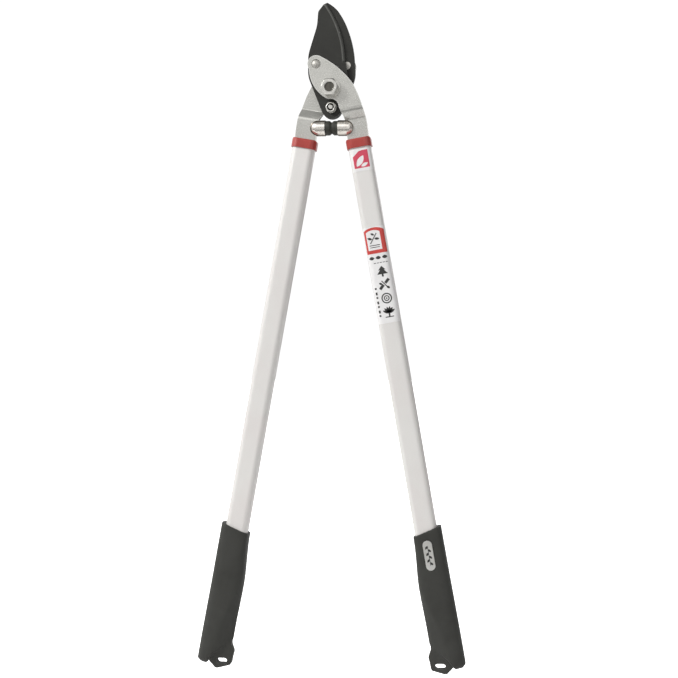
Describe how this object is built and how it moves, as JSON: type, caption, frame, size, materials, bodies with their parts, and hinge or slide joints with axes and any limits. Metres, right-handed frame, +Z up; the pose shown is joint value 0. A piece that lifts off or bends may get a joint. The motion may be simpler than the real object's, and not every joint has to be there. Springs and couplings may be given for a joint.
{
  "type": "bypass loppers",
  "caption": "Two-handed bypass loppers with compound-action blades, stamped steel handle plates, bumpers, long tubes and moulded grips with hanging slots.",
  "frame": {"origin": "on the main pivot axis, at the outer flat face of the pivot bolt's rear head", "axes": "+Z up the middle line towards the blade tips, +X towards the right handle seen from the front, -Y to the front, where the pivot nut is"},
  "size_m": [0.292, 0.0378, 0.7215],
  "materials": {
    "plate": "satin zinc-plated stamped steel",
    "blade": "black non-stick coating on hardened steel",
    "black_bolt": "black oxide",
    "zinc": "bright zinc plating",
    "pin_steel": "peened plated steel",
    "nylon": "natural nylon",
    "chrome_cup": "polished nickel",
    "buffer_rubber": "moulded black rubber",
    "collar": "moulded red plastic",
    "tube": "pearl white powder coat on aluminium",
    "grip": "soft-touch dark grey moulding",
    "label": "printed film",
    "badge": "satin silver foil"
  },
  "bodies": {
    "left_handle": {"rear_plate": "plate", "left_tube": "tube", "left_collar": "collar", "left_grip": "grip", "left_bumper_cup": "chrome_cup", "left_buffer": "buffer_rubber", "pivot_bolt": "black_bolt", "pivot_nut": "zinc", "pivot_front_washer": "zinc", "pivot_rear_washer": "zinc", "spacer_sleeve": "zinc", "hook_blade_pin": "pin_steel", "rear_slip_washer": "nylon"},
    "right_handle": {"front_plate": "plate", "right_tube": "tube", "right_collar": "collar", "right_grip": "grip", "right_bumper_cup": "chrome_cup", "right_buffer": "buffer_rubber", "cutting_blade_pin": "pin_steel", "front_slip_washer": "nylon", "size_label": "label", "handle_label": "label", "grip_badge": "badge"},
    "cutting_blade": {"cutting_blade": "blade"},
    "hook_blade": {"hook_blade": "blade", "blade_bolt": "zinc", "blade_nut": "zinc", "blade_washer": "zinc"}
  },
  "joints": [
    {"name": "handle_pivot", "type": "hinge", "parent": "left_handle", "child": "right_handle", "pos_m": [0, -0.0181, 0], "axis": [0, -1, 0], "range_deg": [0, 60]},
    {"name": "hook_blade_hinge", "type": "hinge", "parent": "left_handle", "child": "hook_blade", "pos_m": [0.016, -0.0181, 0.0265], "axis": [0, -1, 0], "range_deg": [0, 15]},
    {"name": "cutting_blade_hinge", "type": "hinge", "parent": "right_handle", "child": "cutting_blade", "pos_m": [-0.016, -0.0181, 0.0265], "axis": [0, -1, 0], "range_deg": [-15, 0]}
  ],
  "couplings": [
    {"joint": "hook_blade_hinge", "follows": "handle_pivot", "ratio": 0.25},
    {"joint": "cutting_blade_hinge", "follows": "handle_pivot", "ratio": -0.25}
  ]
}
